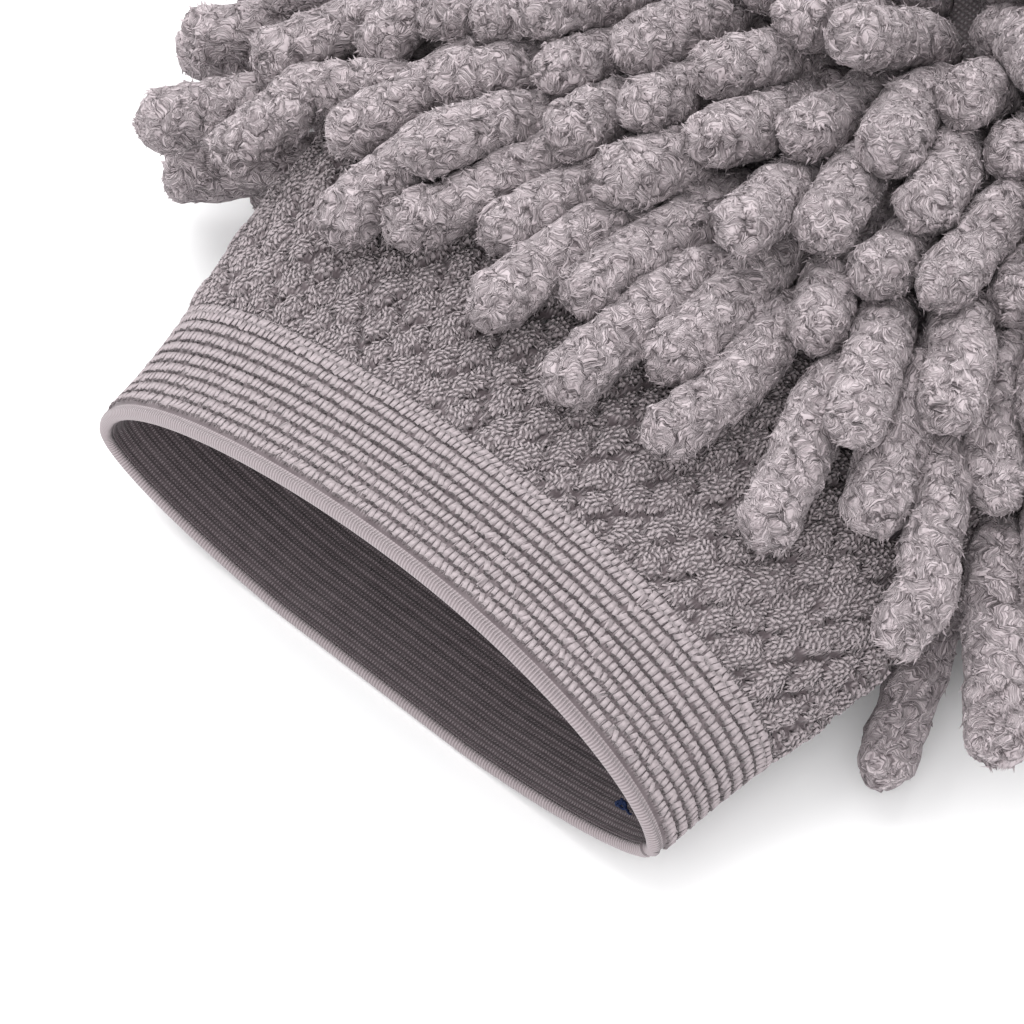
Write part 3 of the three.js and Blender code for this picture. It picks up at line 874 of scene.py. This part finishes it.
def seat_fingers(side, pitch, spacing, rng):
    """Roots and first directions of one face's fingers, in staggered files across the hand; a file
    belongs to the stitched row it stands on. In front they are combed over the cuff and fan out,
    behind they stand, at the edges they lean out."""
    roots, rows = [], []
    offsets = np.concatenate([np.arange(0.0, FRONT_FILES, spacing[0]),
                              np.arange(FRONT_FILES + 3.0, ROWS * ROW_PITCH - 4.0, spacing[1])])
    for file, offset in enumerate(offsets):
        run = FIRST_ROW + FILE_SHIFT + offset
        half = float(hand_half(max(run, HAND_START))) - 1.0 + 2.5 * float(run < 100.0)
        close = pitch[0] if offset < FRONT_FILES else pitch[1]
        count = max(3, int(2 * half / close) + file % 2)
        x = (np.arange(count) - (count - 1) / 2) * min(close, 2 * half / (count - 1))
        x = x + rng.normal(0, 0.9, count)
        y = run + rng.normal(0, 1.3, count)
        if file == 0:
            y = y - 4.0 * fade((np.abs(x) - 30.0) / 25.0)
        height = panel_height(x, np.maximum(y, HAND_START), side) + ROOT_RISE * side
        roots.append(np.stack([x, y, height], -1))
        rows.append(np.full(count, int(offset / ROW_PITCH)))
    roots = np.concatenate(roots)
    rows = np.concatenate(rows)
    count = len(roots)
    across = roots[:, 0] / HAND_HALF
    run = roots[:, 1]
    edge = np.sign(across) * np.abs(across) ** 2.4
    if side > 0:
        front = 1.0 - fade((run + rng.normal(0, 16.0, count) - 84.0) / 60.0)
        tip = fade((run - 205.0) / 45.0)
        loose = 0.3 + 0.45 * (1.0 - front) * (1.0 - np.abs(edge))
        fore = -2.9 * front + 1.6 * tip + rng.normal(0, 1.0, count) * loose * (1.0 - front)
        sideways = mix(1.9 * edge, 1.8 * across + 2.2 * edge, front) + rng.normal(0, 1.0, count) * loose
        ways = np.stack([sideways, fore, mix(1.0, 0.5, front) - 1.5 * np.maximum(np.abs(edge), tip)], -1)
    else:
        front = (1.0 - fade((run - 85.0) / 60.0)) * fade((np.abs(roots[:, 0]) - 40.0) / 12.0)
        fore = mix(1.5 + 1.8 * fade((run - 120.0) / 120.0), -2.5, front) + rng.normal(0, 0.4, count)
        sideways = mix(2.6 * across, 1.8 * across + 1.6 * edge, front) + rng.normal(0, 0.5, count)
        ways = np.stack([sideways, fore, np.full(count, -0.5)], -1)
    return roots, unit(ways), rows


def ground(x, run, side):
    """What the fingers of one face lie against: the cuff and the hand, carried on past their edges
    at a steep slope, down for the back (1) and up for the palm (-1)."""
    spill = np.maximum(np.abs(x) - hand_half(run), 0.0) + np.maximum(run - TIP_RUN, 0.0)
    hand = panel_height(x, np.minimum(run, TIP_RUN), side) - side * DROP * spill
    along, half, middle, top, base = cuff_outline(run)
    if side > 0:
        rise = np.clip(1.0 - (x / half) ** 2, 0.0, 1.0) ** mix(0.56, 0.33, along)
        cuff = middle + (top + 0.6 - middle) * rise - DROP * np.maximum(np.abs(x) - half, 0.0)
    else:
        cuff = base + DROP * np.maximum(np.abs(x) - FLARE_HALF + 12.0, 0.0)
    return np.where(run < HAND_START - 1.0, cuff, hand)


def clear_of_ground(points, radius, side):
    """Push points out of the ground along its slope, so that each keeps its radius clear."""
    x, run, z = points[..., 0], points[..., 1], points[..., 2]
    step = 0.5
    slope_x = (ground(x + step, run, side) - ground(x - step, run, side)) / (2 * step)
    slope_y = (ground(x, run + step, side) - ground(x, run - step, side)) / (2 * step)
    length = np.sqrt(1.0 + slope_x ** 2 + slope_y ** 2)
    short = np.maximum(radius - side * (z - ground(x, run, side)) / length, 0.0)
    out = np.stack([-slope_x, -slope_y, np.ones_like(z)], -1) / length[..., None]
    return points + side * out * np.minimum(short, 2.5)[..., None]


def settle(roots, ways, sides):
    """Let the fingers fall and press against one another. Each is a chain of points at even links;
    each step moves it a little down and towards its own direction, straightens it, parts points
    nearer than two radii, lifts it off cuff, hand and floor, and puts the links back to length."""
    count = len(roots)
    reach = np.arange(FINGER_LINKS) * LINK
    chain = roots[:, None] + ways[:, None] * reach[None, :, None]
    radius = np.full((count, FINGER_LINKS), CONTACT_RADIUS)
    radius[:, 0] = 0.0
    radius[:, 1] = CONTACT_RADIUS * 0.75
    owner = np.repeat(np.arange(count), FINGER_LINKS)
    upper = sides > 0
    weight = np.where(upper, 1.0 - 0.75 * np.clip(ways[:, 2], 0.0, 1.0) ** 2, 0.4)[:, None]
    pairs = None
    for step in range(SETTLE_STEPS):
        pull = FALL * (1.0 - step / SETTLE_STEPS) + 0.02
        chain[:, 1:, 2] -= pull * weight
        wish = roots[:, None] + ways[:, None] * reach[None, :, None]
        chain[:, 1:] += OWN_WAY * (wish - chain)[:, 1:]
        bend = (chain[:, :-2] + chain[:, 2:]) / 2 - chain[:, 1:-1]
        chain[:, 1:-1] += STIFFNESS * bend
        flat = chain.reshape(-1, 3)
        size = radius.ravel()
        if step % 6 == 0:
            gap = flat[:, None] - flat[None]
            near = (gap ** 2).sum(-1) < (2 * CONTACT_RADIUS + 5.0) ** 2
            near &= owner[:, None] < owner[None]
            near &= (size[:, None] > 0) & (size[None] > 0)
            pairs = np.nonzero(near)
        a, b = pairs
        apart = flat[a] - flat[b]
        distance = np.maximum(np.linalg.norm(apart, axis=1), 1e-3)
        short = np.maximum(size[a] + size[b] - distance, 0.0)
        push = apart / distance[:, None] * (PARTING * short)[:, None]
        for axis in range(3):
            flat[:, axis] += np.bincount(a, push[:, axis], len(flat)) * 0.5
            flat[:, axis] -= np.bincount(b, push[:, axis], len(flat)) * 0.5
        chain = flat.reshape(count, FINGER_LINKS, 3)
        for mine, side in ((upper, 1), (~upper, -1)):
            chain[mine] = clear_of_ground(chain[mine], radius[mine], side)
        chain[..., 2] = np.maximum(chain[..., 2], radius)
        chain[:, 0] = roots
        for k in range(1, FINGER_LINKS):
            link = chain[:, k] - chain[:, k - 1]
            chain[:, k] = chain[:, k - 1] + unit(link) * LINK
    return chain


def bare_spots(chain):
    """Places on the back of the hand that no settled finger covers, taken one at a time: the spot
    farthest from every finger, until none is left farther than BARE_GAP."""
    middles = (chain[:, 1:] + chain[:, :-1]) / 2
    cover = np.concatenate([chain[:, 1:], middles], 1).reshape(-1, 3)[:, :2]
    x, run = (v.ravel() for v in np.meshgrid(np.arange(-72.0, 73.0, 2.5), np.arange(90.0, 248.0, 2.5)))
    inside = np.abs(x) < hand_half(run) - 4.0
    spots = np.stack([x[inside], run[inside]], -1)
    gap = np.sqrt(((spots[:, None] - cover[None]) ** 2).sum(-1)).min(1)
    found = []
    while gap.max() > BARE_GAP and len(found) < 60:
        best = spots[gap.argmax()]
        found.append(best)
        gap = np.minimum(gap, np.linalg.norm(spots - best, axis=1) - 1.0)
    return np.array(found).reshape(-1, 2)


def filler_fingers(spots, rng):
    """Roots, directions and rows of upright fingers that stand on bare spots."""
    x, run = spots[:, 0], spots[:, 1]
    roots = np.stack([x, run, panel_height(x, run, 1)], -1)
    front = 1.0 - fade((run - 90.0) / 50.0)
    lean = np.stack([0.02 * x, -1.6 * front], -1) + 0.25 * rng.standard_normal((len(spots), 2))
    ways = unit(np.concatenate([lean, np.ones((len(spots), 1))], 1))
    rows = np.clip((run - FIRST_ROW - FILE_SHIFT) / ROW_PITCH, 0, ROWS - 1).astype(int)
    return roots, ways, rows


def finger_axes(chain, count):
    """Smooth curve through each chain at even shares: Catmull-Rom between its points."""
    ends = [2 * chain[:, :1] - chain[:, 1:2], chain, 2 * chain[:, -1:] - chain[:, -2:-1]]
    p = np.concatenate(ends, 1)
    at = np.linspace(0.0, FINGER_LINKS - 1.0001, count)
    k = at.astype(int)
    t = (at - k)[None, :, None]
    a, b, c, d = p[:, k], p[:, k + 1], p[:, k + 2], p[:, k + 3]
    return 0.5 * (2 * b + (c - a) * t + (2 * a - 5 * b + 4 * c - d) * t ** 2
                  + (3 * b - a - 3 * c + d) * t ** 3)


def finger_surface(chain, radius, around, rings, salt):
    """Skin of many fingers. Rings run from a thin root along the axis and close over a round end;
    the skin is then raised into tufts: cells with a crown, a lift towards one side that makes them
    overlap like scales, and a crease between neighbours. Points and their fields count the rings
    one after the other, then the root's middle and the tip."""
    count = len(chain)
    body = int(rings * BODY_SHARE)
    samples = 160
    axis = finger_axes(chain, samples)
    total = LINK * (FINGER_LINKS - 1)
    cap = np.linspace(0.0, 0.5 * math.pi, rings - body + 1)[1:] * 0.97
    distance = np.concatenate([np.linspace(0.0, total, body), total + FINGER_RADIUS * np.sin(cap)])
    thick = np.concatenate([np.full(body, 1.0), np.cos(cap)])
    thick = thick * mix(0.62, 1.0, fade(distance / 6.0) ** 0.7)
    lean = np.concatenate([np.zeros(body), cap])
    at = np.clip(distance / total, 0.0, 1.0) * (samples - 1)
    low = np.minimum(at.astype(int), samples - 2)
    part = (at - low)[None, :, None]
    centre = axis[:, low] * (1 - part) + axis[:, low + 1] * part
    ahead = unit(axis[:, low + 1] - axis[:, low])
    centre = centre + ahead * np.maximum(distance - total, 0.0)[None, :, None]
    chord = unit(axis[:, -1] - axis[:, 0])
    helper = np.where(np.abs(chord[:, 2:]) < 0.8, [[0.0, 0.0, 1.0]], [[1.0, 0.0, 0.0]])
    reference = unit(np.cross(chord, helper))[:, None]
    side = unit(np.cross(ahead, reference))
    other = np.cross(side, ahead)
    angle = np.arange(around) * 2 * math.pi / around
    circle = np.stack([np.cos(angle), np.sin(angle)], -1)
    spin = side[:, :, None] * circle[None, None, :, :1] + other[:, :, None] * circle[None, None, :, 1:]
    wide = radius[:, None, None, None] * thick[None, :, None, None]
    outward = spin * np.cos(lean)[None, :, None, None]
    outward = outward + ahead[:, :, None] * np.sin(lean)[None, :, None, None]

    def straight(across, height):
        """The rings about an axis that is not bent yet, from their radius and height."""
        flat = across[:, None, None] * circle[None]
        return np.concatenate([flat, np.repeat(height[:, None, None], around, 1)], -1)

    local = straight(thick, distance) * np.array([FINGER_RADIUS, FINGER_RADIUS, 1.0])
    normal = straight(np.cos(lean), np.sin(lean))
    shift = scatter(np.arange(count)[:, None] * np.array([1.0, 2.0, 3.0]), salt) * 400.0
    place = (local[None] + shift[:, None, None]).reshape(-1, 3)
    warp = [swell_noise(place, 6.0, 9.0 + k) for k in range(3)]
    place = place + 0.9 * np.stack(warp, -1)
    facing = np.repeat(normal[None], count, 0).reshape(-1, 3)
    near, far, away, own = tuft_cells(place, TUFT, salt)
    crease = 1.0 - fade((far - near) / (0.34 * TUFT))
    lie = (own - 0.5) * 2.0 + np.array([0.0, 0.0, 0.75])
    lie = unit(lie - facing * np.einsum("ij,ij->i", lie, facing)[:, None])
    lift = np.einsum("ij,ij->i", away, lie) / TUFT
    slow = swell_noise(place, 11.0, 1.0 + salt)
    small = swell_noise(place, 1.7, 2.0 + salt)
    rise = 0.2 * (own[:, 0] - 0.5) + 0.54 * lift - 0.12 * crease + 0.3 * slow + 0.12 * small
    rise = rise.reshape(count, rings, around) * mix(0.35, 1.0, fade(distance / 5.0))[None, :, None]
    points = centre[:, :, None] + spin * wide + outward * rise[..., None]
    # Painted shading for the colour: lighter where a tuft lifts, darker in the creases and near the
    # root.
    painted_tuft_shading = np.clip(0.6 + 0.7 * lift - 0.35 * crease, 0.0, 1.0).reshape(count, rings, around)
    painted_tuft_shading = painted_tuft_shading * mix(0.45, 1.0, fade(distance / 14.0))[None, :, None]
    lie = lie.reshape(count, rings, around, 3)
    lie = (side[:, :, None] * lie[..., :1] + other[:, :, None] * lie[..., 1:2]
           + ahead[:, :, None] * lie[..., 2:])
    tip = centre[:, -1] + ahead[:, -1] * (radius * 0.02 + 0.15)[:, None]
    poles = np.stack([centre[:, 0], tip], 1)
    skin = {"points": np.concatenate([points.reshape(count, -1, 3), poles], 1)}
    for key, values in (("skin", place), ("facing", facing), ("painted_tuft_shading", painted_tuft_shading[..., None])):
        values = values.reshape(count, rings * around, -1)
        skin[key] = np.concatenate([values, values[:, [0, -1]]], 1)
    for key, values in (("lie", lie), ("outward", outward), ("lift", lift)):
        skin[key] = values.reshape(count, rings * around, -1)
    return skin


def fuzz_blades(skin, chosen, bare, per_finger, rng):
    """Loose fibre ends: thin three-sided spikes that leave the skin at its raised tuft edges and
    lean the way the tuft lies. The first points of a finger, at its root, are left bare."""
    odds = np.clip(skin["lift"][chosen, :, 0] + 0.25, 0.02, 1.0)
    odds[:, :bare] = 0.0
    order = np.argsort(-(odds ** 1.5) * rng.random(odds.shape), axis=1)[:, :per_finger]
    picked = {key: values[chosen[:, None], order].reshape(-1, values.shape[-1])
              for key, values in skin.items()}
    out = unit(picked["outward"])
    total = len(out)
    way = unit(unit(picked["lie"]) * (0.9 + 0.3 * rng.random((total, 1)))
               + out * (0.25 + 0.75 * rng.random((total, 1))) + 0.25 * rng.standard_normal((total, 3)))
    across = unit(np.cross(way, out))
    length = 0.6 + 0.65 * rng.random((total, 1))
    width = 0.24 + 0.14 * rng.random((total, 1))
    start = picked["points"] - way * 0.35 - out * 0.12
    corners = np.stack([
        start + across * width,
        start - across * width,
        start + out * width * 0.8,
        start + way * (length + 0.35),
    ], 1)
    faces = repeat_faces([np.array([[0, 1, 2], [0, 3, 1], [1, 3, 2], [2, 3, 0]])], total, 4)[0]
    fields = {key: np.repeat(picked[key], 4, 0) for key in ("skin", "facing")}
    # The fibre ends get the light end of the painted tuft shading.
    fields["painted_tuft_shading"] = np.repeat(0.6 + 0.35 * rng.random((total, 1)), 4, 0)
    return corners.reshape(-1, 3), faces, fields


def finger_rows(word, chain, rows, wanted, mesh_size, per_finger, seed):
    """One object for each of the wanted stitched rows of fingers."""
    around, rings = mesh_size
    rng = np.random.default_rng(seed)
    mine = (rows >= wanted[0]) & (rows < wanted[1])
    chain, rows = chain[mine], rows[mine]
    radius = FINGER_RADIUS * (1.0 + 0.05 * rng.standard_normal(len(chain)).clip(-1.5, 1.5))
    skin = finger_surface(chain, radius, around, rings, float(seed))
    each = rings * around + 2
    blocks = [
        grid_faces(rings, around, False, True),
        fan_faces(np.arange(around), each - 2, True),
        fan_faces(np.arange(each - 2 - around, each - 2), each - 1, False),
    ]
    pieces = []
    for row in range(*wanted):
        chosen = np.nonzero(rows == row)[0]
        points = skin["points"][chosen].reshape(-1, 3)
        faces = face_outwards(points, repeat_faces(blocks, len(chosen), each))
        spikes, spike_faces, fields = fuzz_blades(skin, chosen, around * 5, per_finger, rng)
        faces.append(spike_faces + len(points))
        points = np.concatenate([points, spikes])
        points[:, 2] = np.maximum(points[:, 2], FLOOR_CLEAR)
        for key, values in fields.items():
            values = np.concatenate([skin[key][chosen].reshape(-1, values.shape[-1]), values])
            fields[key] = values if key != "painted_tuft_shading" else values[:, 0]
        pieces.append(make_piece(f"{word}_pile_row_{row + 1:02d}", points, faces, CHENILLE,
                                 f"{word}_chenille_row_{row + 1:02d}", fields))
    return pieces


# ---- Build

knit = cuff_knit()
band = band_stitches()
panel_back = panel_stitches("cuff_panel_stitches_back", 0.0, 0.5, 21)
panel_palm = panel_stitches("cuff_panel_stitches_palm", 0.5, 1.0, 31)
facing = cuff_facing()
elastic = cuff_elastic()
side_seam = cuff_side_seam()
tack = thread_tack()
joining_seam = cuff_to_hand_seam()

layers = []
for side, word in ((1, "back"), (-1, "palm")):
    for kind, node, top, bottom, material, slot, recess in (
            ("ground_cloth", "backing", 0.0, 1.2, GROUND_CLOTH, "ground_cloth", 0.0),
            ("wadding_sheet", "wadding", 1.55, 4.05, FELT, "wadding", 5.0),
            ("lining_cloth", "lining", 4.4, 5.1, LINING_CLOTH, "lining", 0.0)):
        layers.append(hand_layer(f"{word}_{kind}", side, top, bottom, material,
                                 f"{word}_{node}", recess))
edge = perimeter_seam()

rng = np.random.default_rng(5)
back_roots, back_ways, back_rows = seat_fingers(1, (12.4, 10.4), (11.2, 8.3), rng)
palm_roots, palm_ways, palm_rows = seat_fingers(-1, (13.0, 12.0), (12.5, 11.5), rng)
first = settle(back_roots, back_ways, np.ones(len(back_roots)))
extra_roots, extra_ways, extra_rows = filler_fingers(bare_spots(first), rng)
back_roots = np.concatenate([back_roots, extra_roots])
back_ways = np.concatenate([back_ways, extra_ways])
back_rows = np.concatenate([back_rows, extra_rows])
sides = np.concatenate([np.ones(len(back_roots)), -np.ones(len(palm_roots))])
chain = settle(np.concatenate([back_roots, palm_roots]), np.concatenate([back_ways, palm_ways]), sides)
back_chain, palm_chain = chain[sides > 0], chain[sides < 0]
back_pile = finger_rows("back", back_chain, back_rows, (0, 4), (44, 48), 230, 3)
back_pile += finger_rows("back", back_chain, back_rows, (4, ROWS), (32, 34), 70, 5)
palm_pile = finger_rows("palm", palm_chain, palm_rows, (0, ROWS), (26, 26), 40, 4)

# ---- Bodies

BEND_START = tuple(to_frame(np.array([0.0, 76.0, 18.0])))
BEND_END = tuple(to_frame(np.array([0.0, 44.0, 18.0])))

for piece in (band, elastic, tack):
    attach(piece, "cuff")
for piece in (knit, panel_back, panel_palm, facing, side_seam, *back_pile[:2], *palm_pile[:2]):
    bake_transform(piece)
for piece in (joining_seam, edge, *layers, *back_pile[2:], *palm_pile[2:]):
    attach(piece, "hand")

# ---- Floor, light and camera

AZIMUTH = math.radians(41.5)
ELEVATION = math.radians(56.0)
DISTANCE = 0.605


def floor():
    """A plain white table top, well past the view."""
    size = 3.0
    mesh = bpy.data.meshes.new("floor")
    corners = [(-size, -size, 0.0), (size, -size, 0.0), (size, size, 0.0), (-size, size, 0.0)]
    mesh.from_pydata(corners, [], [(0, 1, 2, 3)])
    n = Nodes("floor_white")
    n.set(Base_Color=(0.93, 0.93, 0.935, 1.0), Roughness=0.7)
    mesh.materials.append(n.material)
    plane = bpy.data.objects.new("floor", mesh)
    bpy.context.collection.objects.link(plane)


def lamp(name, place, size, power, aim):
    """A soft square light at a place, turned to an aim point."""
    data = bpy.data.lights.new(name, "AREA")
    data.shape = "SQUARE"
    data.size = size
    data.energy = power
    light = bpy.data.objects.new(name, data)
    way = np.array(aim) - np.array(place)
    light.rotation_euler = (math.acos(-way[2] / np.linalg.norm(way)), 0.0,
                            math.atan2(way[1], way[0]) - math.pi / 2)
    light.location = place
    bpy.context.collection.objects.link(light)


def camera():
    """Long lens above the front right corner, aimed at the top of the mouth."""
    data = bpy.data.cameras.new("camera")
    data.lens = 158.0
    data.sensor_width = 36.0
    eye = bpy.data.objects.new("camera", data)
    back = np.array([math.sin(AZIMUTH) * math.cos(ELEVATION), -math.cos(AZIMUTH) * math.cos(ELEVATION),
                     math.sin(ELEVATION)])
    target = to_frame(np.array([5.4, 23.3, 22.3]))
    eye.location = target + back * DISTANCE
    eye.rotation_euler = (math.pi / 2 - ELEVATION, 0.0, AZIMUTH)
    bpy.context.collection.objects.link(eye)
    bpy.context.scene.camera = eye


floor()
lamp("window", (-0.6, 0.35, 0.95), 1.4, 16.6, (0.0, 0.0, 0.0))
lamp("fill", (0.5, -0.8, 0.9), 0.9, 5.8, (0.0, 0.0, 0.0))
camera()
world = bpy.data.worlds.new("studio")
world.use_nodes = True
world.node_tree.nodes["Background"].inputs["Color"].default_value = (1.0, 1.0, 1.0, 1.0)
world.node_tree.nodes["Background"].inputs["Strength"].default_value = 1.2
bpy.context.scene.world = world
bpy.context.scene.view_settings.view_transform = "Standard"
